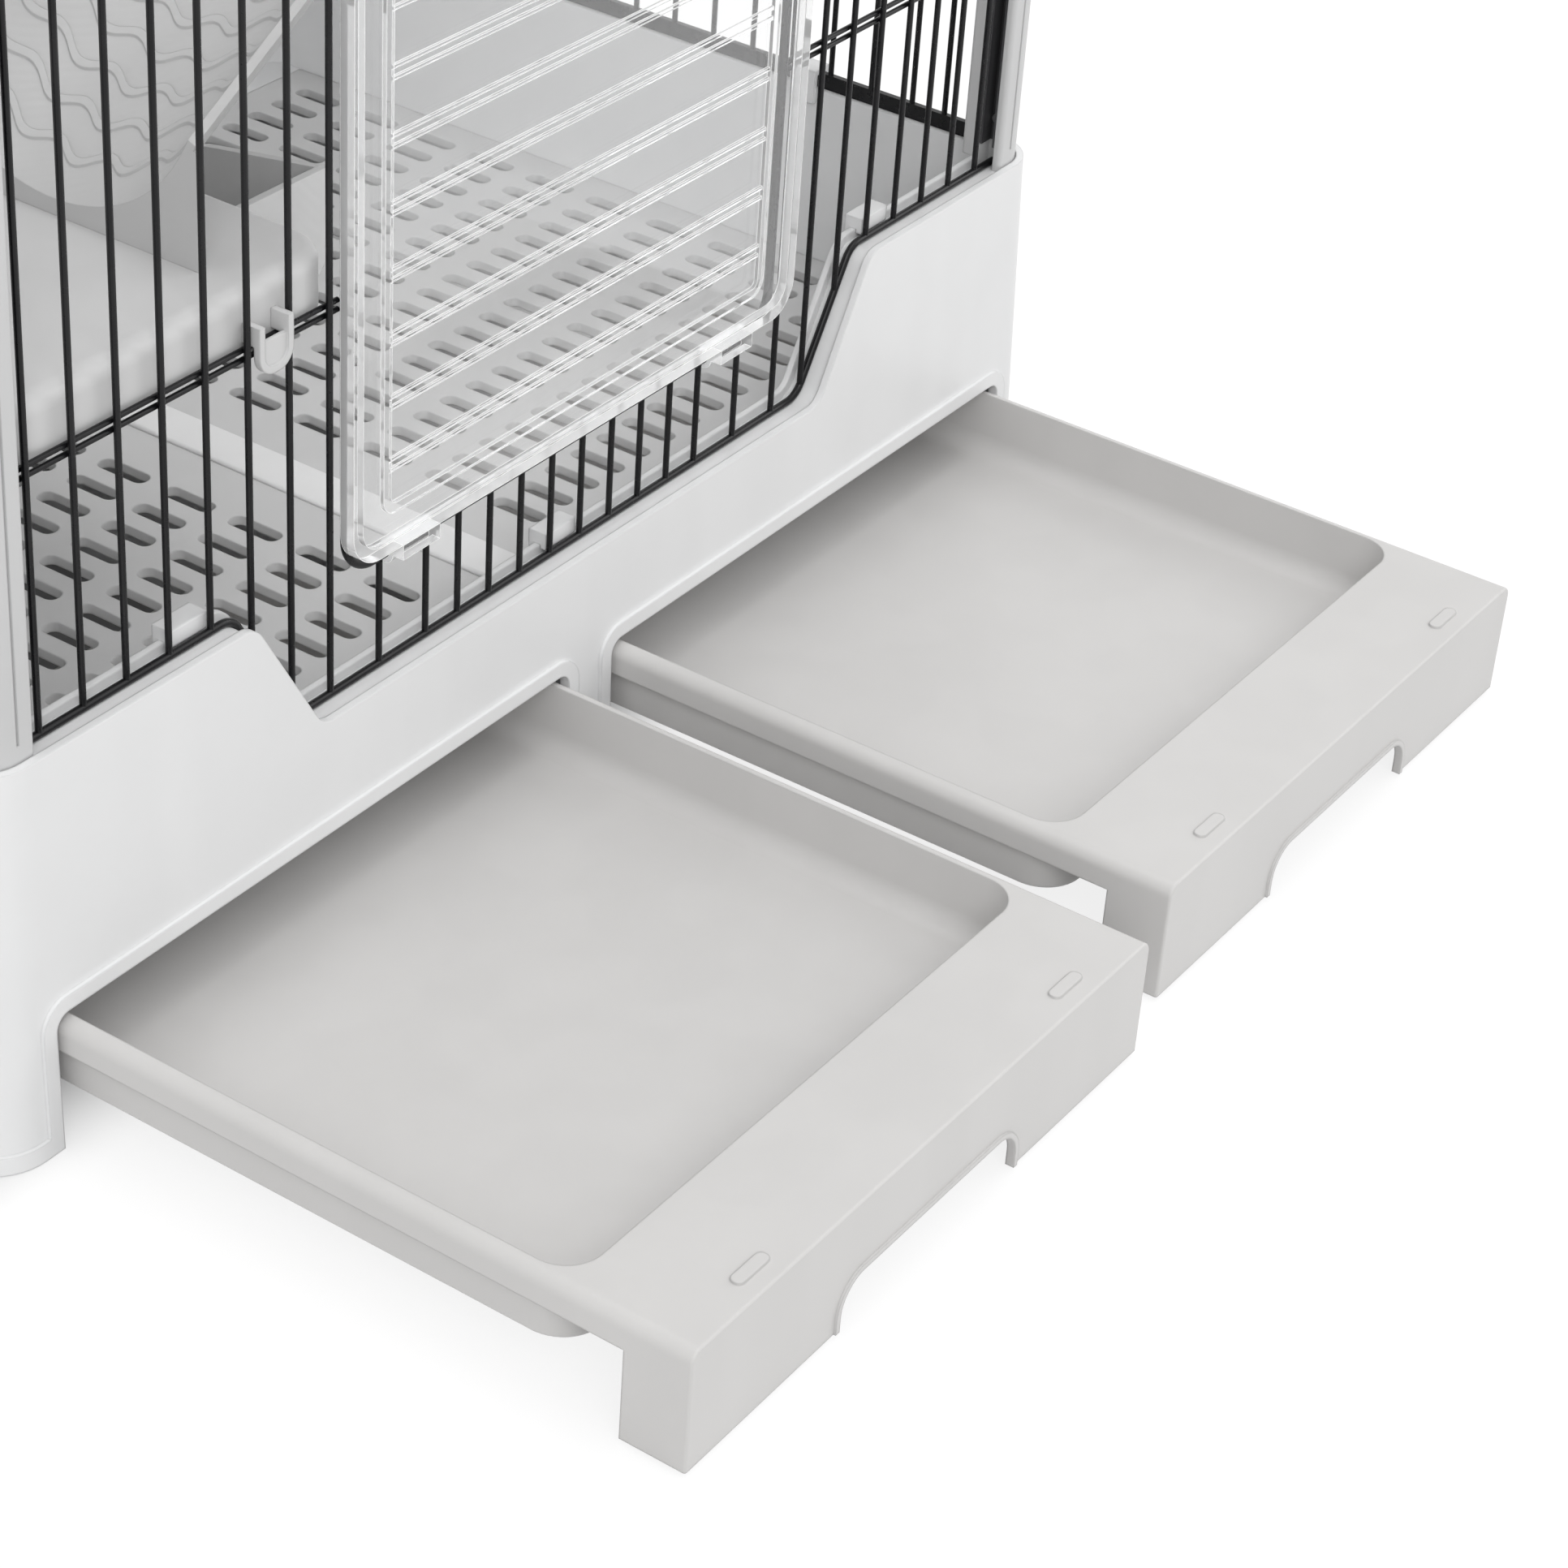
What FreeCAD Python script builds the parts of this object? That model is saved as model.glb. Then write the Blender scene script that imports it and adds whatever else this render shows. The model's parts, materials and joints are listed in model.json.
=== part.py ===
import FreeCAD, Part
import math
import os

V = FreeCAD.Vector
os.makedirs("parts", exist_ok=True)

# Small pet cage: a flared base with two drawers, a wire body on four posts, a clear
# front door, two platforms and two ramps. Millimetres, X to the right, front towards
# -Y, Z up from the floor it stands on, origin in the middle of the base.

# Wire body
PLANE_X = 295.5          # middle to the side wire planes
PLANE_Y = 200.0          # middle to the front and back wire planes
HEIGHT = 690.0           # floor to the top of the roof frame
WIRE_R = 1.2             # upright wires
CROSS_R = 1.0            # thin cross wires, in pairs
CROSS_GAP = 3.4          # spacing inside a pair
CROSS_1 = 243.4          # middle of the lowest pair
CROSS_STEP = 174.0       # rise from pair to pair
CROSS_CLEAR = 8.0        # top pair below the top wire, at least
CROSS_EDGE = 1.0         # cross wires end beside a post
FRAME_R = 1.5            # bottom and top frame wires
WELD = 0.2               # depth of a weld between crossing wires
BAR_T = 2.6              # flat bottom bars, thickness
BAR_H = 10.0             # flat bottom bars, height
FRONT_EDGE = 8.5         # last front wire to its post
FRONT_COUNT = 8          # full front wires on each side
BACK_COUNT = 12          # wires in the middle of the back panel
SIDE_EDGE = 30.0         # end wire of a side panel from the corner
SIDE_FIRST = 46.0        # next wire from the corner
SIDE_COUNT = 16          # wires between, evenly spaced

# Base
RIM_Z = 151.0            # high edge of the base
DIP_Z = 97.0             # lowered edge at the front
DIP_FOOT = 150.0         # half width of the lowered edge
DIP_HEAD = 182.0         # half width where the slopes reach the high edge
DIP_R = 10.0             # rounding of the four bends
SKIRT_OUT_X = 13.0       # skirt outside the side wire planes, at its top
SKIRT_OUT_Y = 10.5       # skirt outside the front wire plane, at its top
FLARE_X = 6.0            # skirt widens by this towards the floor
FLARE_Y = 3.5
SKIRT_R = 20.0           # corner radius of the skirt
SKIRT_WALL = 3.0
CHANNEL_DEPTH = 2.0      # wire channel below the edge
WEB_T = 2.5              # channel floor
LINER_IN_X = 4.0         # inner wall inside the side wire planes
LINER_IN_Y = 7.0         # inner wall inside the front wire plane
LINER_WALL = 2.5
LINER_RISE = 1.5         # inner wall above the skirt edge
LINER_R = 12.0
FLOOR_Z = 75.0           # top of the slotted floor
PANEL_T = 4.0
PANEL_R = 2.0
STEP_T = 4.0             # step that carries the floor panels
STEP_W = 8.0
LEDGE_W = 16.0           # flush ledge in front of and behind the panels
PANEL_GAP = 0.4          # floor panel to its surround
BEAM_HALF = 10.0
BEAM_RISE = 1.5          # beam above the floor
BEAM_EDGE = 1.2          # rounding of the beam
SLOT_L = 24.0
SLOT_W = 8.0
SLOT_R = 3.6
SLOT_PITCH_X = 16.75
SLOT_PITCH_Y = 33.3
SLOT_FIRST = 38.2        # first slot column from the middle
SLOT_EDGE = 14.0         # least band between the slots and the panel edge

# Drawers and their bays
PILLAR_W = 26.0
BAY_EDGE = 6.0           # outer side of a bay inside the inner wall
BAY_H = 53.0
BAY_R = 6.0
BEAD_W = 6.0             # raised bead round a bay
BEAD_H = 1.6
FOOT_BEAD = 7.0          # raised bead round the foot of the skirt
DIVIDER_T = 8.0
RAIL_T = 3.0
RAIL_GAP = 0.6           # outer rail outside the bay
RUNNER_T = 5.0
RUNNER_STOP = 2.0        # runner behind the side returns of a closed drawer
SLIDE_GAP = 0.3          # drawer flange above its runner
TRAY_GAP = 0.8           # tray wall beside its runner
DRAWER_SIDE = 2.25       # drawer front to the side of its bay
DRAWER_TOP = 3.0         # drawer front below the top of its bay
DRAWER_FOOT = 2.0        # drawer front above the ground
DRAWER_BACK = 6.4        # closed drawer short of the inner wall
DRAWER_WALL = 2.5
DRAWER_EDGE = 5.0        # rounding of the rim along the sides
FACE_EDGE = 0.9          # rounding round the face
DECK_L = 48.0            # flat top from the front to the tray
RETURN_L = 25.0          # side returns of the drawer front
FLANGE_H = 12.0
RIM_W = 5.5              # rim round the tray
TRAY_R = 14.0
TRAY_FOOT = 21.0         # underside of the tray above the ground
TRAY_TAPER = 1.0
TRAY_COVE = 8.0          # rounding of the tray inside, round its floor
TRAY_EDGE = 2.0          # rounding of the tray outside, round its underside
NOTCH_W = 104.0
NOTCH_H = 18.0
NOTCH_R = 12.0
LIP_W = 2.2              # raised lip round the finger notch
LIP_H = 0.9
NUB_L = 17.0
NUB_W = 5.0
NUB_R = 2.3
NUB_H = 0.9
NUB_X = 92.0             # nub from the middle of its drawer
NUB_Y = 9.0              # nub behind the drawer face
LEFT_OUT = 253.0         # left drawer pulled out
RIGHT_OUT = 243.5        # right drawer pulled out

# Posts and top
POST_GAP = 0.5           # post inside the skirt wall
POST_W = 24.0            # across the front
POST_D = 19.0            # front to back
POST_EDGE = 2.0          # rounding of the inner edges
GROOVE_W = 7.0
GROOVE_D = 8.0
STRIP_T = 1.0            # dark strip lining a channel
STRIP_END = 10.0         # strip starts above the foot of the post
WIRE_BACK = 1.0          # wire ends short of the strip
LINE_IN = 7.0            # fine groove from the inner edge of a post
LINE_W = 1.0
LINE_END = 8.0           # fine groove starts above the foot of the post
SCREW_R = 2.0
SCREW_H = 1.2
SCREW_Z = 20.0           # screw above the foot of the post
TOP_H = 22.0
TOP_W = 24.0
TOP_FILLET = 5.0
ROOF_STEP = 6.0          # rebate that carries the roof
ROOF_DEEP = 10.0
ROOF_COUNT = 28
ROOF_GAP = 0.5
ROOF_CROSS = 62.0        # roof cross wires from the middle

# Door
LOOP_R = 1.8
LOOP_HALF = 124.5
LOOP_UP = 43.0           # loop above the lowered edge
LOOP_CLEAR = 0.9         # loop below the second cross pair
LOOP_SIDE = 8.0          # loop to the first full wire
LOOP_BEND = 14.0
SHORT_PITCH = 18.0       # short wires below and above the door
SHORT_COUNT = 5          # on each side, before the hinge clip
DOOR_OVER_X = 5.5        # door over its loop at the sides
DOOR_OVER_Z = 8.0        # door over its loop at the top
DOOR_RAISE = 6.0         # door above the bottom wire of its loop
DOOR_R = 14.0
DOOR_T = 2.4
DOOR_GAP = 0.6           # door in front of its loop
DOOR_RIM_W = 5.0
DOOR_RIM_T = 6.0
PANE_EDGE = 18.0         # raised inner frame from the side of the door
PANE_FOOT = 13.0         # raised inner frame from the bottom and top of the door
PANE_W = 4.0
PANE_T = 1.6
PANE_R = 7.0
RIB_FIRST = 19.0         # first rib above the inner frame
RIB_PITCH = 23.8
RIB_W = 1.4
RIB_T = 1.0
RIB_PAIR = 4.0           # two lines of one rib
CLIP_W = 20.0
CLIP_SIDE = 1.55         # hinge clip to the wires beside it
CLIP_R = 3.8
CLIP_BORE = 0.08         # hinge clip round its wire
CLIP_MOUTH = 2.8
CATCH_HALF = 14.0
CATCH_H = 12.0
CATCH_T = 3.0
CATCH_GAP = 0.5          # catch tongue above the loop
CATCH_SIDE = 1.3         # catch tongue to the wires beside it

# Platforms and ramps
PLATFORM_W = 166.0
PLATFORM_H = 21.0
PLATFORM_WALL = 3.0
PLATFORM_R = 18.0
PLATFORM_FILLET = 6.0
PLATFORM_GAP = 0.8       # platform behind the cross wires
PLATFORM_SIDE = 3.5      # platform beside the inner wall of the base
PLATFORM_POST = 1.0      # rounded platform corner beside a post
HOOK_SIDE = 0.6          # hook beside the wires that it passes
HOOK_T = 2.6             # cheeks and rim of a hook
HOOK_WEB = 1.4           # sunk plate inside the rim
HOOK_SINK = 1.0
HOOK_GAP = 0.3           # hook above the cross wires
HOOK_RISE = 7.0
HOOK_DROP = 11.0
HOOK_OPEN = 6.0          # sunk plate below the top of the rim
HOOK_PLACE = 1           # gap between front wires, counted from the door
RAMP_W = 126.0
RAMP_FRONT = 22.0        # ramp rim behind the front wires
RAMP_T = 3.4
RAMP_R = 65.0            # hollow of the tread
RAMP_IN = 48.0           # foot of the ramp from the end of the platform
RAMP_FOOT = 6.0          # tread above the platform at the foot
RAMP_TONGUE = 20.0       # tongue lying on the upper platform
TONGUE_HALF = 22.0
TONGUE_STEP = 0.6        # tongue below the end of the tread
FOOT_STEP = 0.6          # foot panel below the tread
RAMP_END = 2.0           # ramp short of the upper platform
RIDGE_PITCH = 13.2
RIDGE_W = 2.8
RIDGE_H = 1.0
RIDGE_SINK = 0.6
RIDGE_WAVE = 2.2
RIDGE_PERIOD = 22.0      # length of one wave across the ramp
RIDGE_POINTS = 6         # points in one wave
RIDGE_END = 4.0          # ridge end short of the rim
LOW_W = 60.0
LOW_GAP = 0.3            # lower ramp beside the platform
LOW_WALL = 40.0
LOW_T = 3.0
LOW_R = 12.0
LOW_START = 60.0         # lower ramp behind the front wires
LOW_LEVEL = 55.0         # length of the landing
LOW_FALL = 9.0           # fall of the landing
LOW_TOP = 13.0           # rim below the platform top
LOW_END = 30.0           # lower ramp from the back of the floor

# White clips on the edge of the base
HOLD_OUT = 19.0          # clip outside the head of the slope
HOLD_W = 18.0
HOLD_T = 2.4
HOLD_GAP = 0.3
HOLD_H = 5.0
HOLD_LEG = 6.0
SIDE_HOLD_W = 13.0
SIDE_HOLD_PLACE = 3      # gap between side wires, counted from the corner

# Sizes that follow from the ones above
SKIRT_X = PLANE_X + SKIRT_OUT_X
SKIRT_Y = PLANE_Y + SKIRT_OUT_Y
FOOT_X = SKIRT_X + FLARE_X
FOOT_Y = SKIRT_Y + FLARE_Y
CHANNEL_Z = RIM_Z - CHANNEL_DEPTH
LINER_X = PLANE_X - LINER_IN_X
LINER_Y = PLANE_Y - LINER_IN_Y
LINER_OX = LINER_X + LINER_WALL
LINER_OY = LINER_Y + LINER_WALL
LINER_Z = RIM_Z + LINER_RISE
DIP_TURN = math.tan(math.atan2(RIM_Z - DIP_Z, DIP_HEAD - DIP_FOOT) / 2)
SEAT_Z = FLOOR_Z - PANEL_T
UNDER_Z = SEAT_Z - STEP_T
PANEL_Y = LINER_Y - LEDGE_W
TOP_Z = HEIGHT - TOP_H
TOP_WIRE_Z = TOP_Z - FRAME_R
CROSS_IN = WIRE_R + CROSS_R - WELD
CROSS_COUNT = int((TOP_WIRE_Z - CROSS_CLEAR - CROSS_1) / CROSS_STEP) + 1
CROSS_LEVELS = [CROSS_1 + CROSS_STEP * i for i in range(CROSS_COUNT)]
FRAME_DROP = CHANNEL_DEPTH - FRAME_R
BAR_Z = CHANNEL_Z + BAR_H
BAY_W = LINER_X - BAY_EDGE - PILLAR_W / 2
BAY_X = PILLAR_W / 2 + BAY_W / 2
DRAWER_HALF = BAY_W / 2 - DRAWER_SIDE
DRAWER_Z = BAY_H - DRAWER_TOP
FLANGE_Z = DRAWER_Z - FLANGE_H
TRAY_HALF = DRAWER_HALF - RIM_W
RUNNER_Z = FLANGE_Z - SLIDE_GAP
RUNNER_EDGE = TRAY_HALF + DRAWER_WALL + TRAY_GAP
CLOSED_Y = -(FOOT_Y - FLARE_Y * BAY_H / 2 / RIM_Z)
DRAWER_L = LINER_Y - DRAWER_BACK - CLOSED_Y
RUNNER_Y = CLOSED_Y + RETURN_L + RUNNER_STOP
POST_X = SKIRT_X - SKIRT_WALL - POST_GAP
POST_Y = SKIRT_Y - SKIRT_WALL - POST_GAP
POST_R = SKIRT_R - SKIRT_WALL - POST_GAP
POST_IX = POST_X - POST_W
POST_IY = POST_Y - POST_D
WIRE_END = POST_IX + GROOVE_D - STRIP_T - WIRE_BACK
SIDE_END = POST_IY + GROOVE_D - STRIP_T - WIRE_BACK
CROSS_END_X = POST_IX - CROSS_EDGE
CROSS_END_Y = POST_IY - CROSS_EDGE
LOOP_BOTTOM = DIP_Z + LOOP_UP
LOOP_TOP = CROSS_LEVELS[1] - CROSS_GAP / 2 - CROSS_R - LOOP_CLEAR - LOOP_R
FRONT_FIRST = LOOP_HALF + LOOP_SIDE
FRONT_PITCH = (POST_IX - FRONT_EDGE - FRONT_FIRST) / (FRONT_COUNT - 1)
FRONT_WIRES = [FRONT_FIRST + FRONT_PITCH * i for i in range(FRONT_COUNT)]
FIELD_X = FRONT_FIRST - LOOP_SIDE / 2
SHORT_LAST = SHORT_PITCH * (SHORT_COUNT - 0.5)
CLIP_X = SHORT_LAST + WIRE_R + CLIP_SIDE + CLIP_W / 2
SHORT_WIRES = [SHORT_PITCH * (i + 0.5) for i in range(SHORT_COUNT)]
SHORT_WIRES.append(CLIP_X + CLIP_W / 2 + CLIP_SIDE + WIRE_R)
DOOR_HALF = LOOP_HALF + DOOR_OVER_X
DOOR_BOTTOM = LOOP_BOTTOM + DOOR_RAISE
DOOR_TOP = LOOP_TOP + DOOR_OVER_Z
DOOR_BACK = -(PLANE_Y + LOOP_R + DOOR_GAP)
PLATFORM_Y = PLANE_Y - CROSS_IN - CROSS_R - PLATFORM_GAP
PLATFORM_X = LINER_X - PLATFORM_SIDE
PLATFORM_END = PLATFORM_X - PLATFORM_W
POST_IN_X = PLATFORM_X - POST_IX
POST_IN_Y = PLATFORM_Y - POST_IY
POST_IN = POST_IN_X + POST_IN_Y + PLATFORM_POST
PLATFORM_OUTER = POST_IN + math.sqrt(POST_IN ** 2 - POST_IN_X ** 2 - POST_IN_Y ** 2 + PLATFORM_POST ** 2)
HOOK_X = FRONT_WIRES[HOOK_PLACE] + FRONT_PITCH / 2
HOOK_HALF = FRONT_PITCH / 2 - WIRE_R - HOOK_SIDE
LOWER_Z = CROSS_LEVELS[0]
UPPER_Z = CROSS_LEVELS[1]
RAMP_X0 = -(PLATFORM_END + RAMP_IN)
RAMP_X1 = PLATFORM_END - RAMP_END
RAMP_Z0 = LOWER_Z + PLATFORM_H + RAMP_FOOT
RAMP_Z1 = UPPER_Z + PLATFORM_H + RAMP_T + TONGUE_STEP
RAMP_Y = -PLANE_Y + RAMP_FRONT + RAMP_W / 2
RAMP_IY = RAMP_W / 2 - RAMP_T
RAMP_RISE = RAMP_R - math.sqrt(RAMP_R ** 2 - RAMP_IY ** 2)
HOLD_X = DIP_HEAD + HOLD_OUT
PAST = 5.0               # cutters run past the material by this


def box(x0, x1, y0, y1, z0, z1):
    return Part.makeBox(x1 - x0, y1 - y0, z1 - z0, V(x0, y0, z0))


def rod(start, end, radius):
    return Part.makeCylinder(radius, (end - start).Length, start, end - start)


def bent(points, radii, closed=True):
    """Straight runs through the points with a round bend at each one."""
    count = len(points)
    entry = []
    leave = []
    middle = []
    for i, point in enumerate(points):
        radius = radii[i] if isinstance(radii, (list, tuple)) else radii
        end = not closed and i in (0, count - 1)
        if radius <= 0 or end:
            entry.append(point)
            leave.append(point)
            middle.append(None)
            continue
        back = (points[i - 1] - point).normalize()
        ahead = (points[(i + 1) % count] - point).normalize()
        half = back.getAngle(ahead) / 2
        entry.append(point + back * (radius / math.tan(half)))
        leave.append(point + ahead * (radius / math.tan(half)))
        middle.append(point + (back + ahead).normalize() * (radius / math.sin(half) - radius))
    edges = []
    for i in range(count):
        if middle[i] is not None:
            edges.append(Part.Arc(entry[i], middle[i], leave[i]).toShape())
        follow = (i + 1) % count
        if follow == 0 and not closed:
            break
        if (entry[follow] - leave[i]).Length > 1e-6:
            edges.append(Part.makeLine(leave[i], entry[follow]))
    return Part.Wire(edges)


def rect_xy(x0, x1, y0, y1, radius, z):
    corners = [V(x0, y0, z), V(x1, y0, z), V(x1, y1, z), V(x0, y1, z)]
    return bent(corners, radius)


def rect_xz(x0, x1, z0, z1, radii, y):
    corners = [V(x0, y, z0), V(x1, y, z0), V(x1, y, z1), V(x0, y, z1)]
    return bent(corners, radii)


def prism(wire, move):
    return Part.Face(wire).extrude(move)


def tower(half_x, half_y, radius, z0, z1):
    return prism(rect_xy(-half_x, half_x, -half_y, half_y, radius, z0), V(0, 0, z1 - z0))


def mirrored(shape):
    return shape.mirror(V(0, 0, 0), V(1, 0, 0))


def turned_back(shape):
    return shape.mirror(V(0, 0, 0), V(0, 1, 0))


def pipe(path, radius):
    start = path.OrderedEdges[0]
    point = start.valueAt(start.FirstParameter)
    heading = start.tangentAt(start.FirstParameter)
    circle = Part.Wire(Part.Circle(point, heading, radius).toShape())
    return path.makePipeShell([circle], True, False)


def level_edges(shape, z):
    found = []
    for edge in shape.Edges:
        bounds = edge.BoundBox
        if abs(bounds.ZMin - z) < 1e-4 and abs(bounds.ZMax - z) < 1e-4:
            found.append(edge)
    return found


def group(shapes):
    return Part.makeCompound(shapes)


def weld(shapes):
    """Crossing wires joined into one panel."""
    return shapes[0].multiFuse(shapes[1:])


def dip_bends(rise):
    """Radii along the front edge, moved up or down by the same distance everywhere."""
    return [0, DIP_R + rise, DIP_R - rise, DIP_R - rise, DIP_R + rise, 0]


def dip_points(rise, reach, y):
    """Front edge of the base, lowered in the middle."""
    head = DIP_HEAD - rise * DIP_TURN
    foot = DIP_FOOT - rise * DIP_TURN
    return [
        V(-reach, y, RIM_Z + rise),
        V(-head, y, RIM_Z + rise),
        V(-foot, y, DIP_Z + rise),
        V(foot, y, DIP_Z + rise),
        V(head, y, RIM_Z + rise),
        V(reach, y, RIM_Z + rise),
    ]


def above_edge(rise):
    """Everything above the edge of the base, or above a line at the same distance from it."""
    reach = FOOT_X + PAST
    front = -(FOOT_Y + PAST)
    behind = -(LINER_Y - PAST)
    top = RIM_Z + DIP_Z
    points = dip_points(rise, reach, front)
    points += [V(reach, front, top), V(-reach, front, top)]
    lowered = prism(bent(points, dip_bends(rise) + [0, 0]), V(0, behind - front, 0))
    return lowered.fuse(box(-reach, reach, behind, -front, RIM_Z + rise, top))


def flared(offset, z0, z1):
    """Solid body of the skirt, grown or shrunk by an offset."""
    sections = []
    for z in (z0, z1):
        flare = 1 - z / RIM_Z
        half_x = SKIRT_X + FLARE_X * flare + offset
        half_y = SKIRT_Y + FLARE_Y * flare + offset
        sections.append(rect_xy(-half_x, half_x, -half_y, half_y, SKIRT_R + offset, z))
    return Part.makeLoft(sections, True, True)


def bay_block(side, grow, y0, y1):
    x0 = side * BAY_X - BAY_W / 2 - grow
    x1 = side * BAY_X + BAY_W / 2 + grow
    wire = rect_xz(x0, x1, -PAST, BAY_H + grow, [0, 0, BAY_R + grow, BAY_R + grow], y0)
    return prism(wire, V(0, y1 - y0, 0))


def base_skirt():
    outer = flared(0, 0, RIM_Z + PAST)
    inner = flared(-SKIRT_WALL, -PAST, RIM_Z + PAST * 2)
    wall = outer.cut(inner).cut(above_edge(0))
    ring = outer.cut(tower(LINER_OX, LINER_OY, LINER_R, -PAST, RIM_Z + PAST * 2))
    web = ring.common(above_edge(-CHANNEL_DEPTH - WEB_T)).cut(above_edge(-CHANNEL_DEPTH))
    skirt = wall.fuse(web)
    proud = flared(BEAD_H, 0, RIM_Z)
    front = -(FOOT_Y + PAST)
    behind = -(LINER_Y - PAST)
    for side in (-1, 1):
        skirt = skirt.fuse(bay_block(side, BEAD_W, front, behind).common(proud).cut(inner))
    reach = FOOT_X + PAST
    skirt = skirt.fuse(proud.common(box(-reach, reach, front, -front, 0, FOOT_BEAD)).cut(inner))
    for side in (-1, 1):
        skirt = skirt.cut(bay_block(side, 0, front, behind))
    return skirt.removeSplitter()


def base_inner_wall():
    outer = tower(LINER_OX, LINER_OY, LINER_R, UNDER_Z, LINER_Z + PAST)
    inner = tower(LINER_X, LINER_Y, LINER_R - LINER_WALL, UNDER_Z - PAST, LINER_Z + PAST * 2)
    wall = outer.cut(inner).cut(above_edge(LINER_RISE))
    mid_x = LINER_X + LINER_WALL / 2
    mid_y = LINER_Y + LINER_WALL / 2
    step = tower(mid_x, mid_y, LINER_R, UNDER_Z, SEAT_Z)
    step = step.cut(box(-LINER_X + STEP_W, LINER_X - STEP_W, -PANEL_Y + STEP_W, PANEL_Y - STEP_W,
                        UNDER_Z - PAST, SEAT_Z + PAST))
    ledge = tower(mid_x, mid_y, LINER_R, UNDER_Z, FLOOR_Z)
    ledge = ledge.cut(box(-FOOT_X, FOOT_X, -PANEL_Y, PANEL_Y, UNDER_Z - PAST, FLOOR_Z + PAST))
    return wall.fuse([step, ledge]).removeSplitter()


def centre_divider():
    half = DIVIDER_T / 2
    wall = box(-half, half, -LINER_OY, LINER_OY, 0, UNDER_Z)
    flange_half = BEAM_HALF + STEP_W
    reach = PANEL_Y - STEP_W
    flange = box(-flange_half, flange_half, -reach, reach, UNDER_Z, SEAT_Z)
    edge = BAY_X - RUNNER_EDGE
    runner = box(-edge, edge, RUNNER_Y, LINER_Y, RUNNER_Z - RUNNER_T, RUNNER_Z)
    return wall.fuse([flange, runner]).removeSplitter()


def drawer_rail():
    """Right-hand outer rail."""
    wall_x = BAY_X + BAY_W / 2 + RAIL_GAP
    wall = box(wall_x, wall_x + RAIL_T, -LINER_Y, LINER_Y, 0, UNDER_Z)
    runner = box(BAY_X + RUNNER_EDGE, wall_x + RAIL_T, RUNNER_Y, LINER_Y, RUNNER_Z - RUNNER_T, RUNNER_Z)
    return wall.fuse(runner).removeSplitter()


def floor_beam():
    reach = PANEL_Y - PANEL_GAP
    beam = box(-BEAM_HALF, BEAM_HALF, -reach, reach, SEAT_Z, FLOOR_Z + BEAM_RISE)
    return beam.makeFillet(BEAM_EDGE, level_edges(beam, FLOOR_Z + BEAM_RISE))


def floor_panel():
    """Right-hand floor panel with rows of slots."""
    x0 = BEAM_HALF + PANEL_GAP
    x1 = LINER_X - PANEL_GAP
    reach = PANEL_Y - PANEL_GAP
    columns = int((x1 - SLOT_EDGE - SLOT_W / 2 - SLOT_FIRST) / SLOT_PITCH_X) + 1
    rows = int((2 * reach - 2 * SLOT_EDGE - SLOT_L) / SLOT_PITCH_Y) + 1
    first_y = -SLOT_PITCH_Y * (rows - 1) / 2
    wires = [rect_xy(x0, x1, -reach, reach, PANEL_R, SEAT_Z)]
    for column in range(columns):
        x = SLOT_FIRST + SLOT_PITCH_X * column
        for row in range(rows):
            y = first_y + SLOT_PITCH_Y * row
            wires.append(rect_xy(x - SLOT_W / 2, x + SLOT_W / 2, y - SLOT_L / 2, y + SLOT_L / 2,
                                 SLOT_R, SEAT_Z))
    face = Part.Face(wires, "Part::FaceMakerBullseye")
    return face.extrude(V(0, 0, PANEL_T))


def corner_post():
    """Front right post with a channel towards each wire panel."""
    z0 = CHANNEL_Z
    outline = bent([V(POST_IX, -POST_Y, z0), V(POST_X, -POST_Y, z0), V(POST_X, -POST_IY, z0),
                    V(POST_IX, -POST_IY, z0)], [POST_EDGE, POST_R, POST_EDGE, POST_EDGE])
    post = prism(outline, V(0, 0, TOP_Z - z0))
    half = GROOVE_W / 2
    post = post.cut(box(POST_IX - PAST, POST_IX + GROOVE_D, -PLANE_Y - half, -PLANE_Y + half,
                        z0 - PAST, TOP_Z + PAST))
    post = post.cut(box(PLANE_X - half, PLANE_X + half, -POST_IY - GROOVE_D, -POST_IY + PAST,
                        z0 - PAST, TOP_Z + PAST))
    line_x = POST_IX + LINE_IN
    post = post.cut(box(line_x, line_x + LINE_W, -POST_Y - PAST, -POST_Y + LINE_W,
                        z0 + LINE_END, TOP_Z + PAST))
    return post.cut(tower(LINER_OX, LINER_OY, LINER_R, z0 - PAST, LINER_Z))


def strip_pair():
    """Dark U strips in the two channels of the front right post."""
    z0 = CHANNEL_Z + STRIP_END
    half = GROOVE_W / 2
    inside = half - STRIP_T
    first = box(POST_IX, POST_IX + GROOVE_D, -PLANE_Y - half, -PLANE_Y + half, z0, TOP_Z)
    first = first.cut(box(POST_IX - PAST, POST_IX + GROOVE_D - STRIP_T, -PLANE_Y - inside,
                          -PLANE_Y + inside, z0 - PAST, TOP_Z + PAST))
    second = box(PLANE_X - half, PLANE_X + half, -POST_IY - GROOVE_D, -POST_IY, z0, TOP_Z)
    second = second.cut(box(PLANE_X - inside, PLANE_X + inside, -POST_IY - GROOVE_D + STRIP_T,
                            -POST_IY + PAST, z0 - PAST, TOP_Z + PAST))
    return [first, second]


def post_screw():
    x = POST_IX + GROOVE_D - STRIP_T
    z = CHANNEL_Z + SCREW_Z
    return rod(V(x - SCREW_H, -PLANE_Y, z), V(x, -PLANE_Y, z), SCREW_R)


def four_corners(shapes):
    """A front right piece repeated at all four corners."""
    front = list(shapes) + [mirrored(shape) for shape in shapes]
    return front + [turned_back(shape) for shape in front]


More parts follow.
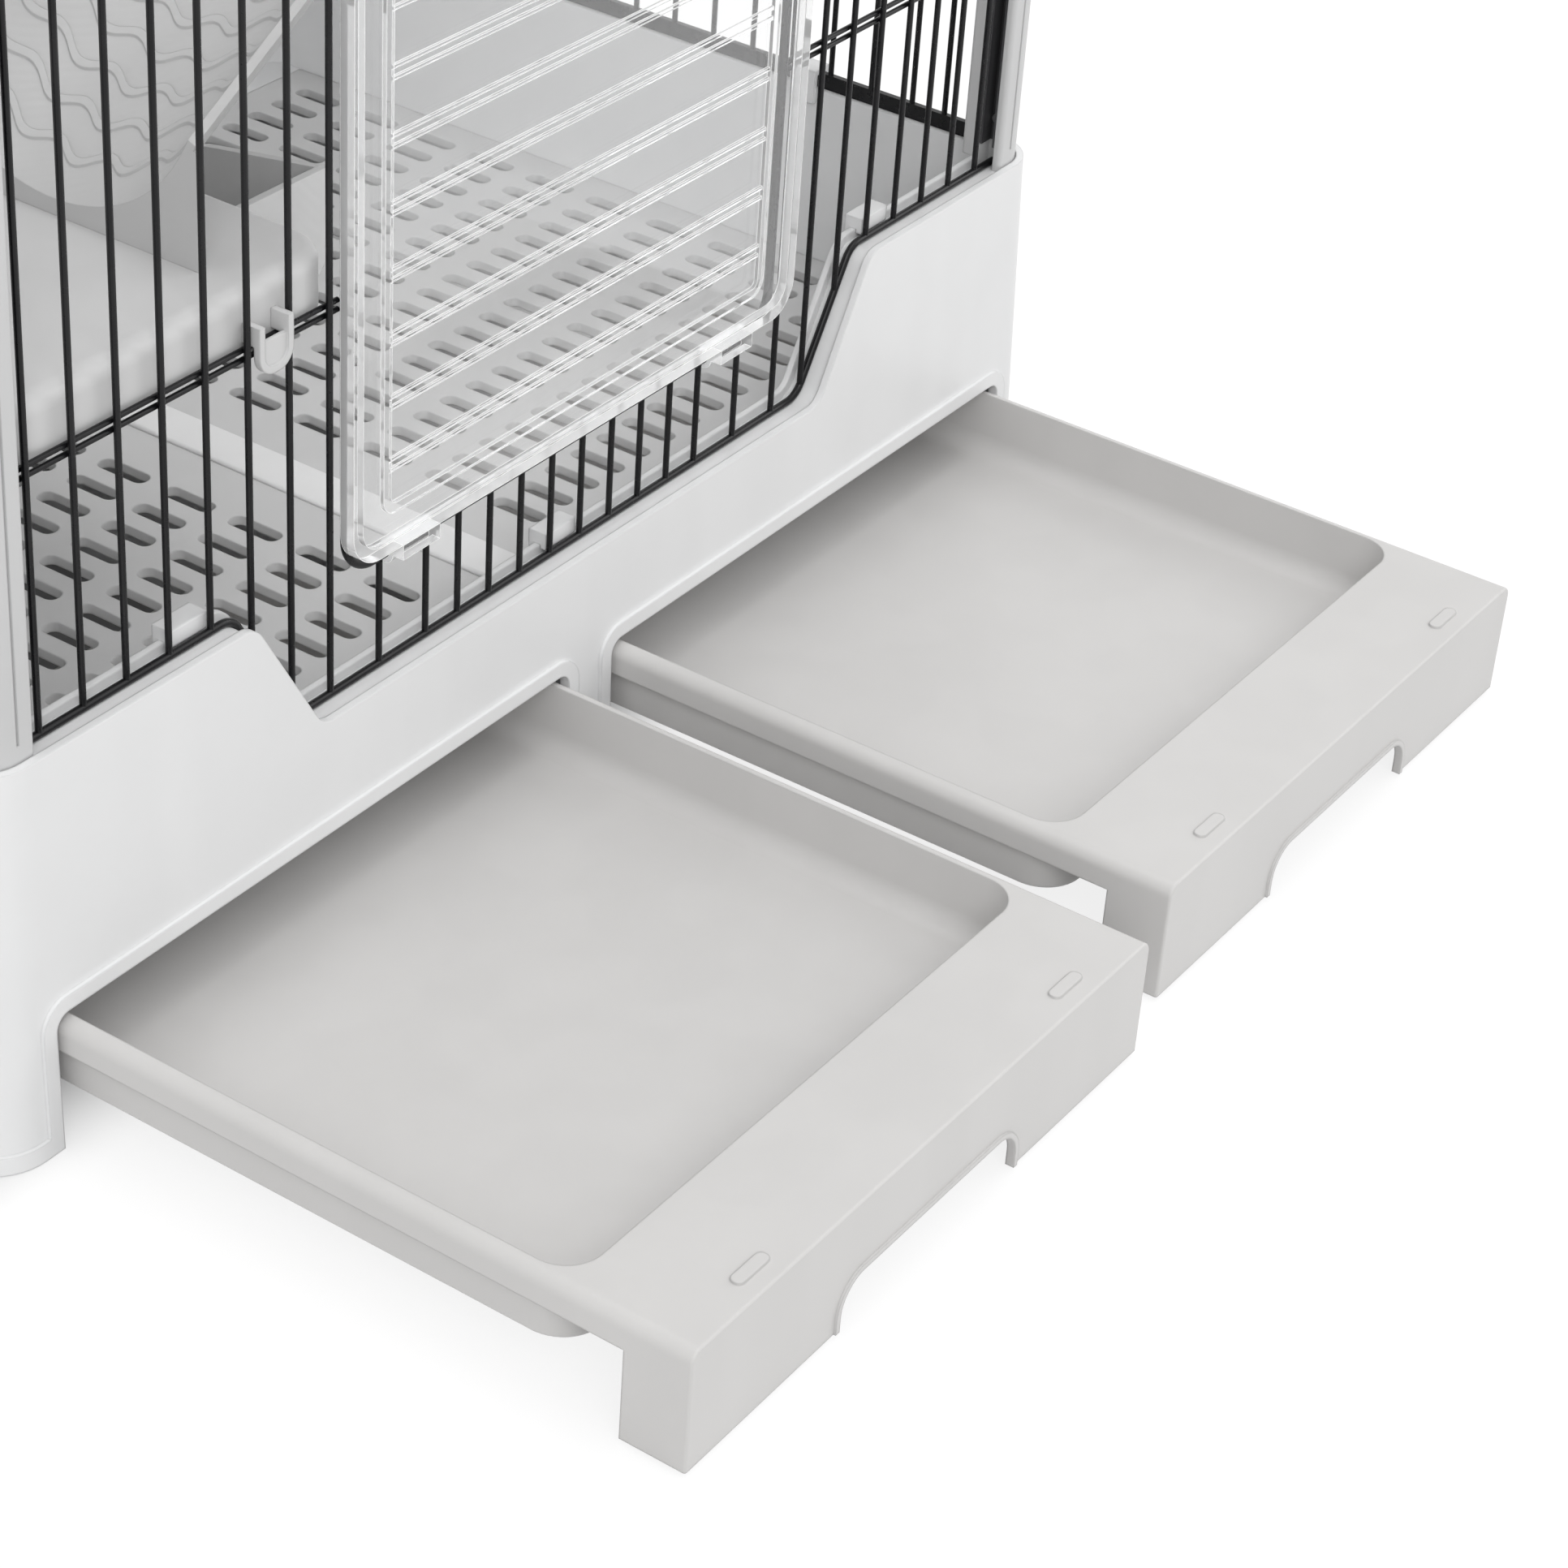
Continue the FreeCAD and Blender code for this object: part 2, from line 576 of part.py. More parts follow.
def bottom_frame():
    """Front bottom wire, bent along the edge of the base."""
    points = dip_points(-FRAME_DROP, WIRE_END, -PLANE_Y)
    return pipe(bent(points, dip_bends(-FRAME_DROP), False), FRAME_R)


def door_loop():
    path = rect_xz(-LOOP_HALF, LOOP_HALF, LOOP_BOTTOM, LOOP_TOP, LOOP_BEND, -PLANE_Y)
    return pipe(path, LOOP_R)


def cross_pair(start, end, level):
    """Two thin wires one above the other; start and end give X and Y."""
    pair = []
    for side in (-1, 1):
        z = level + side * CROSS_GAP / 2
        pair.append(rod(V(start[0], start[1], z), V(end[0], end[1], z), CROSS_R))
    return pair


def front_field(frame):
    """Wire field to the right of the door."""
    wires = []
    for x in FRONT_WIRES:
        wire = rod(V(x, -PLANE_Y, DIP_Z), V(x, -PLANE_Y, TOP_WIRE_Z), WIRE_R).cut(frame)
        wires.append(max(wire.Solids, key=lambda solid: solid.BoundBox.ZMax))
    touch = math.sqrt(LOOP_R ** 2 - (CROSS_IN - CROSS_R) ** 2)
    y = -PLANE_Y + CROSS_IN
    wires += cross_pair((LOOP_HALF + touch, y), (CROSS_END_X, y), CROSS_LEVELS[0])
    for level in CROSS_LEVELS[1:]:
        wires += cross_pair((FIELD_X, y), (CROSS_END_X, y), level)
    wires.append(rod(V(FIELD_X, -PLANE_Y, TOP_WIRE_Z), V(WIRE_END, -PLANE_Y, TOP_WIRE_Z), FRAME_R))
    return weld(wires)


def front_lower(frame):
    """Bottom wire of the front with the short wires that carry the door loop."""
    wires = [frame]
    for offset in SHORT_WIRES:
        for x in (-offset, offset):
            start = V(x, -PLANE_Y, DIP_Z - FRAME_DROP)
            wires.append(rod(start, V(x, -PLANE_Y, LOOP_BOTTOM - LOOP_R), WIRE_R))
    return weld(wires)


def front_upper():
    """Wire field above the door."""
    wires = []
    for offset in SHORT_WIRES:
        for x in (-offset, offset):
            start = V(x, -PLANE_Y, LOOP_TOP + LOOP_R)
            wires.append(rod(start, V(x, -PLANE_Y, TOP_WIRE_Z), WIRE_R))
    y = -PLANE_Y + CROSS_IN
    for level in CROSS_LEVELS[1:]:
        wires += cross_pair((-FIELD_X, y), (FIELD_X, y), level)
    wires.append(rod(V(-FIELD_X, -PLANE_Y, TOP_WIRE_Z), V(FIELD_X, -PLANE_Y, TOP_WIRE_Z), FRAME_R))
    return weld(wires)


def side_places():
    inner = PLANE_Y - SIDE_FIRST
    step = 2 * inner / (SIDE_COUNT - 1)
    return [-inner + step * i for i in range(SIDE_COUNT)]


def side_grille():
    """Right-hand wire panel on its flat bar."""
    edge = PLANE_Y - SIDE_EDGE
    half = BAR_T / 2
    wires = [box(PLANE_X - half, PLANE_X + half, -SIDE_END, SIDE_END, CHANNEL_Z, BAR_Z)]
    for y in [-edge] + side_places() + [edge]:
        wires.append(rod(V(PLANE_X, y, BAR_Z - WIRE_R), V(PLANE_X, y, TOP_WIRE_Z), WIRE_R))
    x = PLANE_X - CROSS_IN
    for level in CROSS_LEVELS:
        wires += cross_pair((x, -CROSS_END_Y), (x, CROSS_END_Y), level)
    wires.append(rod(V(PLANE_X, -SIDE_END, TOP_WIRE_Z), V(PLANE_X, SIDE_END, TOP_WIRE_Z), FRAME_R))
    return weld(wires)


def back_grille():
    """Back wire panel: the front's spacing at the sides, even spacing between."""
    step = 2 * FRONT_FIRST / (BACK_COUNT + 1)
    places = [-FRONT_FIRST + step * (i + 1) for i in range(BACK_COUNT)]
    for x in FRONT_WIRES:
        places += [-x, x]
    half = BAR_T / 2
    wires = [box(-WIRE_END, WIRE_END, PLANE_Y - half, PLANE_Y + half, CHANNEL_Z, BAR_Z)]
    for x in places:
        wires.append(rod(V(x, PLANE_Y, BAR_Z - WIRE_R), V(x, PLANE_Y, TOP_WIRE_Z), WIRE_R))
    y = PLANE_Y - CROSS_IN
    for level in CROSS_LEVELS:
        wires += cross_pair((-CROSS_END_X, y), (CROSS_END_X, y), level)
    wires.append(rod(V(-WIRE_END, PLANE_Y, TOP_WIRE_Z), V(WIRE_END, PLANE_Y, TOP_WIRE_Z), FRAME_R))
    return weld(wires)


def top_frame():
    ring = tower(POST_X, POST_Y, POST_R, TOP_Z, HEIGHT)
    ring = ring.makeFillet(TOP_FILLET, level_edges(ring, HEIGHT))
    half_x = POST_X - TOP_W
    half_y = POST_Y - TOP_W
    opening = tower(half_x, half_y, TOP_FILLET, TOP_Z - PAST, HEIGHT + PAST)
    rebate = tower(half_x + ROOF_STEP, half_y + ROOF_STEP, TOP_FILLET, HEIGHT - ROOF_DEEP, HEIGHT + PAST)
    return ring.cut(opening).cut(rebate)


def roof_grille():
    half_x = POST_X - TOP_W + ROOF_STEP - ROOF_GAP - FRAME_R
    half_y = POST_Y - TOP_W + ROOF_STEP - ROOF_GAP - FRAME_R
    z = HEIGHT - ROOF_DEEP + FRAME_R
    wires = [pipe(rect_xy(-half_x, half_x, -half_y, half_y, TOP_FILLET, z), FRAME_R)]
    step = 2 * half_x / (ROOF_COUNT + 1)
    for i in range(ROOF_COUNT):
        x = -half_x + step * (i + 1)
        wires.append(rod(V(x, -half_y, z), V(x, half_y, z), WIRE_R))
    for y in (-ROOF_CROSS, ROOF_CROSS):
        wires.append(rod(V(-half_x + step, y, z - CROSS_IN), V(half_x - step, y, z - CROSS_IN), CROSS_R))
    return weld(wires)


def edge_hold(x, rise):
    """White clip astride the inner wall at the back."""
    top = LINER_Z + rise
    inside = LINER_Y - HOLD_GAP - HOLD_T
    outside = LINER_OY + HOLD_GAP + HOLD_T
    clip = box(x - HOLD_W / 2, x + HOLD_W / 2, inside, outside, top - HOLD_LEG, top + HOLD_H)
    clip = clip.cut(box(x - HOLD_W, x + HOLD_W, LINER_Y - HOLD_GAP, LINER_OY + HOLD_GAP,
                        top - HOLD_LEG - PAST, top))
    return clip.cut(box(x - HOLD_W, x + HOLD_W, LINER_OY, outside + PAST,
                        top - HOLD_LEG - PAST, top - LINER_RISE))


def side_hold(y):
    """White clip over the flat bar of the right-hand wire panel."""
    x0 = LINER_X - HOLD_GAP - HOLD_T
    x1 = PLANE_X + BAR_T / 2 + HOLD_GAP + HOLD_T
    half = SIDE_HOLD_W / 2
    clip = box(x0, x1, y - half, y + half, LINER_Z - HOLD_LEG, BAR_Z + HOLD_T)
    clip = clip.cut(box(x0 + HOLD_T, x1 - HOLD_T, y - SIDE_HOLD_W, y + SIDE_HOLD_W,
                        LINER_Z - HOLD_LEG - PAST, BAR_Z))
    return clip.cut(box(PLANE_X, x1 + PAST, y - SIDE_HOLD_W, y + SIDE_HOLD_W,
                        LINER_Z - HOLD_LEG - PAST, RIM_Z))


def wire_clips():
    clips = [turned_back(edge_hold(0, DIP_Z - RIM_Z)), edge_hold(0, 0)]
    for x in (-HOLD_X, HOLD_X):
        clip = edge_hold(x, 0)
        clips += [clip, turned_back(clip)]
    places = side_places()
    near = (places[SIDE_HOLD_PLACE - 1] + places[SIDE_HOLD_PLACE]) / 2
    for y in (near, -near):
        clip = side_hold(y)
        clips += [clip, mirrored(clip)]
    return group(clips)


def platform(z):
    """Right-hand platform: a rounded tray turned upside down."""
    x0 = PLATFORM_END
    x1 = PLATFORM_X
    y1 = PLATFORM_Y
    radii = [PLATFORM_R, PLATFORM_OUTER, PLATFORM_OUTER, PLATFORM_R]
    body = prism(bent([V(x0, -y1, z), V(x1, -y1, z), V(x1, y1, z), V(x0, y1, z)], radii),
                 V(0, 0, PLATFORM_H))
    body = body.makeFillet(PLATFORM_FILLET, level_edges(body, z + PLATFORM_H))
    t = PLATFORM_WALL
    radii = [radius - t for radius in radii]
    low = z - PAST
    hollow = prism(bent([V(x0 + t, -y1 + t, low), V(x1 - t, -y1 + t, low), V(x1 - t, y1 - t, low),
                         V(x0 + t, y1 - t, low)], radii), V(0, 0, PLATFORM_H - t + PAST))
    hollow = hollow.makeFillet(PLATFORM_FILLET - t, level_edges(hollow, z + PLATFORM_H - t))
    return body.cut(hollow)


def platform_hooks(z):
    """Front and back wire hooks of the right-hand platform."""
    t = HOOK_T
    x0 = HOOK_X - HOOK_HALF
    x1 = HOOK_X + HOOK_HALF
    arm = z + CROSS_GAP / 2 + CROSS_R + HOOK_GAP
    top = arm + HOOK_RISE
    root = -PLATFORM_Y
    leg = -(PLANE_Y + WIRE_R)
    round_off = HOOK_HALF - FACE_EDGE
    inner_off = round_off - t
    rim = prism(rect_xz(x0, x1, arm - HOOK_DROP, top, [round_off, round_off, 0, 0], leg), V(0, -t, 0))
    rim = rim.cut(prism(rect_xz(x0 + t, x1 - t, arm - HOOK_DROP + t, top + PAST, [inner_off, inner_off, 0, 0],
                                leg + PAST), V(0, -t - PAST * 2, 0)))
    sunk = leg - t + HOOK_SINK
    web = prism(rect_xz(x0 + t / 2, x1 - t / 2, arm - HOOK_DROP + t / 2, top - HOOK_OPEN,
                        [round_off - t / 2, round_off - t / 2, 0, 0], sunk), V(0, HOOK_WEB, 0))
    cheeks = [box(x0, x0 + t, leg - t / 2, root, arm, top), box(x1 - t, x1, leg - t / 2, root, arm, top)]
    hook = rim.fuse([web] + cheeks).removeSplitter()
    return group([hook, turned_back(hook)])


def trough(width, depth, wall, radius, at):
    """U section of a ramp as an outline; at(across, up) places a point."""
    half = width / 2
    inner = half - wall
    points = [at(-half, depth), at(-half, -wall), at(half, -wall), at(half, depth),
              at(inner, depth), at(inner, 0), at(-inner, 0), at(-inner, depth)]
    return bent(points, [0, radius + wall, radius + wall, 0, 0, radius, radius, 0])


def arc_band(outer, inner, reach):
    """Band between two arcs round the hollow of the upper ramp, at its foot."""
    turn = math.asin(reach / RAMP_R)

    def spot(radius, angle):
        return V(RAMP_X0, RAMP_Y + radius * math.sin(angle), RAMP_Z0 + RAMP_R - radius * math.cos(angle))

    return Part.Wire([Part.Arc(spot(outer, -turn), spot(outer, 0), spot(outer, turn)).toShape(),
                      Part.makeLine(spot(outer, turn), spot(inner, turn)),
                      Part.Arc(spot(inner, turn), spot(inner, 0), spot(inner, -turn)).toShape(),
                      Part.makeLine(spot(inner, -turn), spot(outer, -turn))])


def ramp_ridges(run):
    """Wavy cross ridges on the tread of the upper ramp."""
    band = prism(arc_band(RAMP_R + RIDGE_SINK, RAMP_R - RIDGE_H, RAMP_IY - RIDGE_END), run)
    waves = 2 * RAMP_IY / RIDGE_PERIOD
    places = int(waves * RIDGE_POINTS) + 2
    low = RAMP_Z0 - RAMP_T
    high = RAMP_Z1 + RAMP_RISE
    points = []
    for k in range(places):
        share = k / (places - 1)
        x = RAMP_X0 + RIDGE_PITCH + RIDGE_WAVE * math.sin(2 * math.pi * share * waves)
        points.append(V(x, RAMP_Y - RAMP_IY + 2 * RAMP_IY * share, low))
    near = Part.BSplineCurve()
    near.interpolate(points)
    far = Part.BSplineCurve()
    far.interpolate([point + V(RIDGE_W, 0, 0) for point in points])
    sheet = Part.makeRuledSurface(near.toShape(), far.toShape())
    first = sheet.extrude(V(0, 0, high - low)).common(band)
    count = int(run.x / RIDGE_PITCH) - 1
    return [first.translated(run * (RIDGE_PITCH * i / run.x)) for i in range(count)]


def upper_ramp():
    run = V(RAMP_X1 - RAMP_X0, 0, RAMP_Z1 - RAMP_Z0)
    half = RAMP_W / 2
    foot = box(RAMP_X0, RAMP_X0 + RAMP_T, RAMP_Y - half, RAMP_Y + half, LOWER_Z + PLATFORM_H,
               RAMP_Z0 + RAMP_RISE - RAMP_T)
    axis = V(RAMP_X0 - PAST, RAMP_Y, RAMP_Z0 + RAMP_R)
    foot = foot.cut(rod(axis, axis + V(RAMP_T + PAST * 2, 0, 0), RAMP_R + FOOT_STEP))
    tongue_z = UPPER_Z + PLATFORM_H
    tongue = box(RAMP_X1 - RAMP_T, PLATFORM_END + PLATFORM_FILLET + RAMP_TONGUE,
                 RAMP_Y - TONGUE_HALF, RAMP_Y + TONGUE_HALF, tongue_z, tongue_z + RAMP_T)
    tread = prism(arc_band(RAMP_R + RAMP_T, RAMP_R, RAMP_IY), run)
    return tread.fuse([foot, tongue] + ramp_ridges(run)).removeSplitter()


def lower_ramp():
    x0 = -PLATFORM_END + LOW_GAP
    x1 = x0 + LOW_W
    middle = (x0 + x1) / 2
    y0 = -PLANE_Y + LOW_START
    y1 = y0 + LOW_LEVEL
    y2 = PANEL_Y - LOW_END
    z0 = LOWER_Z + PLATFORM_H - LOW_TOP - LOW_WALL
    z1 = z0 - LOW_FALL
    z2 = FLOOR_Z + LOW_T
    landing = prism(trough(LOW_W, LOW_WALL, LOW_T, LOW_R, lambda a, u: V(middle + a, y0, z0 + u)),
                    V(0, y1 - y0, z1 - z0))
    slope = prism(trough(LOW_W, LOW_WALL, LOW_T, LOW_R, lambda a, u: V(middle + a, y1, z1 + u)),
                  V(0, y2 - y1, z2 - z1))
    bend = LOW_R + LOW_T
    plug = prism(rect_xz(x0, x1, z0 - LOW_T, z0 + LOW_WALL, [bend, bend, 0, 0], y0), V(0, LOW_T, 0))
    return landing.fuse([slope, plug]).removeSplitter()


def face_edges(face):
    """Edges round the front of a drawer face, apart from its foot."""
    found = []
    for edge in face.Edges:
        bounds = edge.BoundBox
        if bounds.YMax < FACE_EDGE / 2 and bounds.ZMax > DRAWER_FOOT + FACE_EDGE:
            found.append(edge)
    return found


def drawer():
    """One drawer with its face at Y = 0, running back along +Y."""
    half = DRAWER_HALF
    t = DRAWER_WALL
    top = [0, 0, DRAWER_EDGE, DRAWER_EDGE]
    face = prism(rect_xz(-half, half, DRAWER_FOOT, DRAWER_Z, top, 0), V(0, RETURN_L, 0))
    face = face.makeFillet(FACE_EDGE, face_edges(face))
    middle = RETURN_L / 2
    flange = prism(rect_xz(-half, half, FLANGE_Z, DRAWER_Z, top, middle), V(0, DRAWER_L - middle, 0))
    hollow = box(-half + t, half - t, t, DECK_L - t / 2, -PAST, DRAWER_Z - t)
    cap = face.fuse(flange).cut(hollow)
    y0 = DECK_L
    y1 = DRAWER_L - RIM_W
    wide = TRAY_HALF
    low = TRAY_TAPER
    shell = Part.makeLoft([
        rect_xy(-wide - t + low, wide + t - low, y0 - t + low, y1 + t - low, TRAY_R + t, TRAY_FOOT),
        rect_xy(-wide - t, wide + t, y0 - t, y1 + t, TRAY_R + t, DRAWER_Z - t / 2)], True, True)
    shell = shell.makeFillet(TRAY_EDGE, level_edges(shell, TRAY_FOOT))
    cavity = Part.makeLoft([
        rect_xy(-wide + low, wide - low, y0 + low, y1 - low, TRAY_R, TRAY_FOOT + t),
        rect_xy(-wide, wide, y0, y1, TRAY_R, DRAWER_Z + PAST)], True, True)
    cavity = cavity.makeFillet(TRAY_COVE, level_edges(cavity, TRAY_FOOT + t))
    body = cap.fuse(shell).cut(cavity)
    notch_half = NOTCH_W / 2
    notch_z = DRAWER_FOOT + NOTCH_H
    notch = prism(rect_xz(-notch_half, notch_half, -PAST, notch_z, [0, 0, NOTCH_R, NOTCH_R], -PAST),
                  V(0, PAST * 2 + t, 0))
    lip_half = notch_half + LIP_W
    lip_r = NOTCH_R + LIP_W
    lip = prism(rect_xz(-lip_half, lip_half, DRAWER_FOOT, notch_z + LIP_W, [0, 0, lip_r, lip_r], -LIP_H),
                V(0, LIP_H + t / 2, 0))
    body = body.fuse(lip).cut(notch)
    nubs = []
    for x in (-NUB_X, NUB_X):
        nubs.append(prism(rect_xy(x - NUB_L / 2, x + NUB_L / 2, NUB_Y - NUB_W / 2, NUB_Y + NUB_W / 2,
                                  NUB_R, DRAWER_Z - t / 2), V(0, 0, t / 2 + NUB_H)))
    return body.fuse(nubs).removeSplitter()


def door_panel():
    back = DOOR_BACK
    outline = rect_xz(-DOOR_HALF, DOOR_HALF, DOOR_BOTTOM, DOOR_TOP, DOOR_R, back)
    pane = prism(outline, V(0, -DOOR_T, 0))
    inset = DOOR_RIM_W
    hole = rect_xz(-DOOR_HALF + inset, DOOR_HALF - inset, DOOR_BOTTOM + inset, DOOR_TOP - inset,
                   DOOR_R - inset, back + PAST)
    rim = prism(outline, V(0, -DOOR_RIM_T, 0)).cut(prism(hole, V(0, -DOOR_RIM_T - PAST * 2, 0)))
    half = DOOR_HALF - PANE_EDGE
    z0 = DOOR_BOTTOM + PANE_FOOT
    z1 = DOOR_TOP - PANE_FOOT
    front = back - DOOR_T
    raised = prism(rect_xz(-half, half, z0, z1, PANE_R, front), V(0, -PANE_T, 0))
    hole = rect_xz(-half + PANE_W, half - PANE_W, z0 + PANE_W, z1 - PANE_W, PANE_R - PANE_W, front + PAST)
    raised = raised.cut(prism(hole, V(0, -PANE_T - PAST * 2, 0)))
    reach = half - PANE_W / 2
    count = int((z1 - z0 - RIB_FIRST - PANE_W - RIB_PAIR) / RIB_PITCH) + 1
    ribs = []
    for i in range(count):
        middle = z0 + RIB_FIRST + RIB_PITCH * i
        for z in (middle - RIB_PAIR / 2, middle + RIB_PAIR / 2):
            ribs.append(box(-reach, reach, front - RIB_T, front, z - RIB_W / 2, z + RIB_W / 2))
    return pane.fuse([rim, raised] + ribs).removeSplitter()


def hinge_clip(x):
    """C clip under the door that turns on the bottom wire of the loop."""
    x0 = x - CLIP_W / 2
    axis = V(x0, -PLANE_Y, LOOP_BOTTOM)
    length = V(CLIP_W, 0, 0)
    clip = rod(axis, axis + length, CLIP_R)
    clip = clip.fuse(box(x0, x0 + CLIP_W, DOOR_BACK - DOOR_RIM_T, -PLANE_Y, LOOP_BOTTOM, DOOR_BOTTOM))
    clip = clip.cut(rod(axis - length, axis + length * 2, LOOP_R + CLIP_BORE))
    half = CLIP_MOUTH / 2
    return clip.cut(box(x0 - PAST, x0 + CLIP_W + PAST, -PLANE_Y, -PLANE_Y + CLIP_R + PAST,
                        LOOP_BOTTOM - half, LOOP_BOTTOM + half))


def door_catch():
    """Snap clip astride the top edge of the door; its tongue sits over the loop."""
    front = DOOR_BACK - DOOR_RIM_T
    tongue = SHORT_WIRES[0] - WIRE_R - CATCH_SIDE
    top = DOOR_TOP + CATCH_T
    grip = box(-CATCH_HALF, CATCH_HALF, front - CATCH_T, front, DOOR_TOP - CATCH_H, top)
    bridge = box(-tongue, tongue, front, -PLANE_Y, DOOR_TOP, top)
    nose = box(-tongue, tongue, DOOR_BACK, -PLANE_Y, LOOP_TOP + LOOP_R + CATCH_GAP, top)
    return grip.fuse([bridge, nose]).removeSplitter()


def save(name, shape):
    shape.exportStep("parts/" + name + ".step")


def build():
    frame = bottom_frame()
    right_field = front_field(frame)
    rail = drawer_rail()
    panel = floor_panel()
    side = side_grille()
    save("base_skirt", base_skirt())
    save("base_inner_wall", base_inner_wall())
    save("centre_divider", centre_divider())
    save("drawer_rail_left", mirrored(rail))
    save("drawer_rail_right", rail)
    save("floor_beam", floor_beam())
    save("floor_panel_left", mirrored(panel))
    save("floor_panel_right", panel)
    names = ("front_right", "front_left", "back_right", "back_left")
    for name, shape in zip(names, four_corners([corner_post()])):
        save("post_" + name, shape)
    save("channel_strips", group(four_corners(strip_pair())))
    save("post_screws", group(four_corners([post_screw()])))
    save("front_grille_left", mirrored(right_field))
    save("front_grille_right", right_field)
    save("front_grille_lower", front_lower(frame))
    save("front_grille_upper", front_upper())
    save("door_loop", door_loop())
    save("side_grille_left", mirrored(side))
    save("side_grille_right", side)
    save("back_grille", back_grille())
    save("top_frame", top_frame())
    save("roof_grille", roof_grille())
    save("wire_clips", wire_clips())
    save("platform_lower", mirrored(platform(LOWER_Z)))
    save("platform_upper", platform(UPPER_Z))
    save("platform_lower_hooks", mirrored(platform_hooks(LOWER_Z)))
    save("platform_upper_hooks", platform_hooks(UPPER_Z))
    save("ramp_upper", upper_ramp())
    save("ramp_lower", lower_ramp())
    left = drawer()
    right = left.copy()
    left.translate(V(-BAY_X, CLOSED_Y - LEFT_OUT, 0))
    right.translate(V(BAY_X, CLOSED_Y - RIGHT_OUT, 0))
    save("drawer_left", left)
    save("drawer_right", right)
    save("door_panel", door_panel())
    save("door_hinge_clips", group([hinge_clip(-CLIP_X), hinge_clip(CLIP_X)]))
    save("door_catch", door_catch())


build()
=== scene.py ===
# %% [markdown]
# This lesson dresses a small pet cage: a white flared base with two grey drawers, black
# wires between four posts, a clear door, platforms and a ramp. The shapes come from CAD,
# each solid at its real place in metres. We only load them here.

# %% Load the cage
import json
import math

import bpy
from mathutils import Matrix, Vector

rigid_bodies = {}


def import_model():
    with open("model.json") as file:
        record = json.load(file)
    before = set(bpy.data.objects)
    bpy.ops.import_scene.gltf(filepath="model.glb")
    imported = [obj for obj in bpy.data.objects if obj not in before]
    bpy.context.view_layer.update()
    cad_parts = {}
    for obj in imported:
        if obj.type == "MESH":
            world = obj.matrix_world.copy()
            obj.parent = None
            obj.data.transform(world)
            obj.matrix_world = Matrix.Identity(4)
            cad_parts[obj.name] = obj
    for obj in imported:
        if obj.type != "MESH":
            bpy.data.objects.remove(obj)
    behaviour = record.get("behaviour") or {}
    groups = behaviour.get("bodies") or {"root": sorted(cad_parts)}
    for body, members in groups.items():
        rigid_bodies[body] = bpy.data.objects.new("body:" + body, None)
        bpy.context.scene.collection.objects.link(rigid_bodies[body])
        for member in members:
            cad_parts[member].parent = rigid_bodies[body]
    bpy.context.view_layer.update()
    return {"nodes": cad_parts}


for leftover in list(bpy.data.objects):
    bpy.data.objects.remove(leftover, do_unlink=True)
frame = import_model()
cage = frame["nodes"]

# %% [markdown]
# The camera stands in front and to the left of the cage and looks down on the drawers,
# with a long lens. Its place, turn and lens were worked out from points that can be found
# both in the picture and on the cage. The camera isn't shifted, so that other views of
# the cage stay centred.

# %% Camera
SENSOR_MM = 36.0
LENS_MM = 90.66
CAMERA_PLACE = (-1.0099, -0.94405, 0.84285)
CAMERA_DEGREES = (55.8808, -3.562, -55.2047)

lens_data = bpy.data.cameras.new("camera")
lens_data.sensor_width = SENSOR_MM
lens_data.lens = LENS_MM
camera = bpy.data.objects.new("camera", lens_data)
bpy.context.scene.collection.objects.link(camera)
camera.location = CAMERA_PLACE
camera.rotation_euler = [math.radians(turn) for turn in CAMERA_DEGREES]
bpy.context.scene.camera = camera
bpy.context.scene.view_settings.view_transform = "Standard"
print("camera", lens_data.lens, "mm lens")

# %% [markdown]
# A finish is a small network of nodes. Building it node by node takes many lines, so one
# class wraps a node's socket and lets us write the maths as Python: adding two sockets
# adds a Math node. Colours must not go through Math nodes, which turn them grey, so they
# have a mix of their own, and the node method makes any other kind.

# %% Shader maths


def plug(tree, value, place):
    """Links a socket or sets a plain value."""
    if isinstance(value, Shade):
        tree.links.new(value.socket, place)
    else:
        place.default_value = value


class Shade:
    """One socket of a finish, with Python's operators."""

    def __init__(self, tree, socket):
        self.tree = tree
        self.socket = socket

    def node(self, kind, settings=None, inputs=None, output=0):
        made = self.tree.nodes.new("ShaderNode" + kind)
        for name, value in (settings or {}).items():
            setattr(made, name, value)
        for name, value in (inputs or {}).items():
            plug(self.tree, value, made.inputs[name])
        return Shade(self.tree, made.outputs[output])

    def math(self, operation, *values):
        return self.node("Math", {"operation": operation}, dict(enumerate(values)))

    def __add__(self, other):
        return self.math("ADD", self, other)

    __radd__ = __add__

    def __sub__(self, other):
        return self.math("SUBTRACT", self, other)

    def __rsub__(self, other):
        return self.math("SUBTRACT", other, self)

    def __mul__(self, other):
        return self.math("MULTIPLY", self, other)

    def ease(self, low, high):
        """0 below low, 1 above high, smooth between."""
        return self.node("MapRange", {"interpolation_type": "SMOOTHSTEP"},
                         {"Value": self, "From Min": low, "From Max": high})

    def mix(self, first, second):
        """A colour between two others, by this value."""
        return self.node("Mix", {"data_type": "RGBA"}, {0: self, 6: first, 7: second}, 2)


print("shader maths ready")

# %% [markdown]
# Moulded plastic is never quite even. The colour drifts by a percent or two where the
# melt cooled at another speed, upright walls show faint flow streaks, and the mould's
# fine texture breaks up the gloss. Noise nodes give all three. Every edge of a real
# moulding is a little round, so a Bevel node turns the normals at sharp CAD edges, and
# they catch light. The ramp's tread also has a fine hatch between its ridges.

